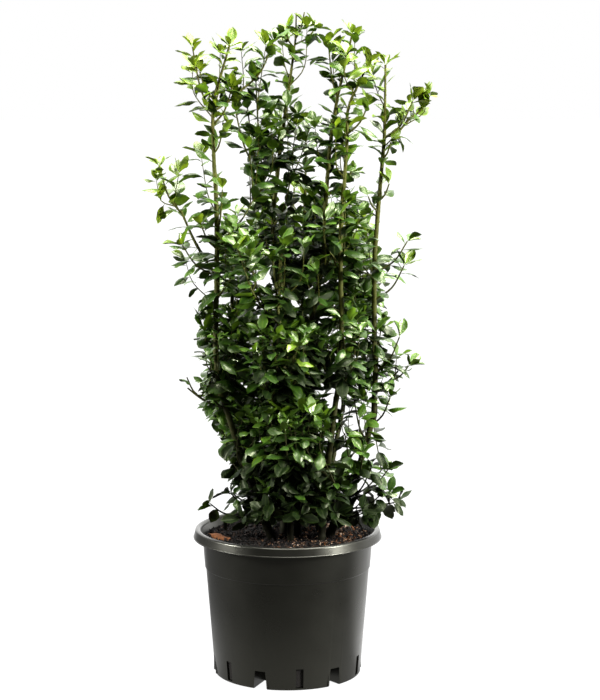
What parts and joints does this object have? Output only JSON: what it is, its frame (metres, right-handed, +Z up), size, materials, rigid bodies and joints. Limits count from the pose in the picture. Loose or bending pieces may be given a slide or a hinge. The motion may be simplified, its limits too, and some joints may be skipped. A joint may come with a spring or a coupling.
{
  "type": "potted holly shrub",
  "caption": "Tall, narrow holly shrub with upright stems and dense evergreen foliage, in a round tapering plastic nursery pot with a rolled rim and drainage notches.",
  "frame": {"origin": "centre of the pot's flat underside", "axes": "+Z up along the pot's axis, -Y towards the front of the shrub, +X to the right as seen from the front"},
  "size_m": [0.4078, 0.327, 0.9795],
  "materials": {
    "pot": "satin charcoal black moulded plastic",
    "soil": "brown bark-chip potting mix",
    "bark": "smooth olive-green young bark",
    "leaf": "glossy dark green holly leaves"
  },
  "bodies": {
    "root": {"bough_inner_left_top": "bark", "bough_inner_left_upper": "bark", "bough_left_foot": "bark", "bough_left_outer": "bark", "bough_left_spur": "bark", "bough_right_foot": "bark", "bough_right_spur": "bark", "bough_right_tip": "bark", "foliage_back_foot": "leaf", "foliage_back_left_low": "leaf", "foliage_back_left_upper": "leaf", "foliage_back_right_low": "leaf", "foliage_back_right_upper": "leaf", "foliage_centre_shoulder": "leaf", "foliage_centre_top": "leaf", "foliage_centre_upper": "leaf", "foliage_front_foot": "leaf", "foliage_front_low": "leaf", "foliage_front_middle": "leaf", "foliage_front_right": "leaf", "foliage_front_upper": "leaf", "foliage_inner_left_top": "leaf", "foliage_inner_left_upper": "leaf", "foliage_inner_right_shoulder": "leaf", "foliage_inner_right_top": "leaf", "foliage_inner_right_upper": "leaf", "foliage_left_foot": "leaf", "foliage_left_low": "leaf", "foliage_left_middle": "leaf", "foliage_left_outer": "leaf", "foliage_left_shoulder": "leaf", "foliage_left_spur": "leaf", "foliage_left_top": "leaf", "foliage_left_upper": "leaf", "foliage_rear_low": "leaf", "foliage_rear_upper": "leaf", "foliage_right_foot": "leaf", "foliage_right_low": "leaf", "foliage_right_middle": "leaf", "foliage_right_shoulder": "leaf", "foliage_right_spur": "leaf", "foliage_right_tip": "leaf", "foliage_right_top": "leaf", "foliage_right_upper": "leaf", "pot": "pot", "soil": "soil", "stem_back_centre": "bark", "stem_back_left": "bark", "stem_back_right": "bark", "stem_centre": "bark", "stem_front": "bark", "stem_front_right": "bark", "stem_inner_right": "bark", "stem_left": "bark", "stem_rear": "bark", "stem_right": "bark"}
  },
  "joints": []
}
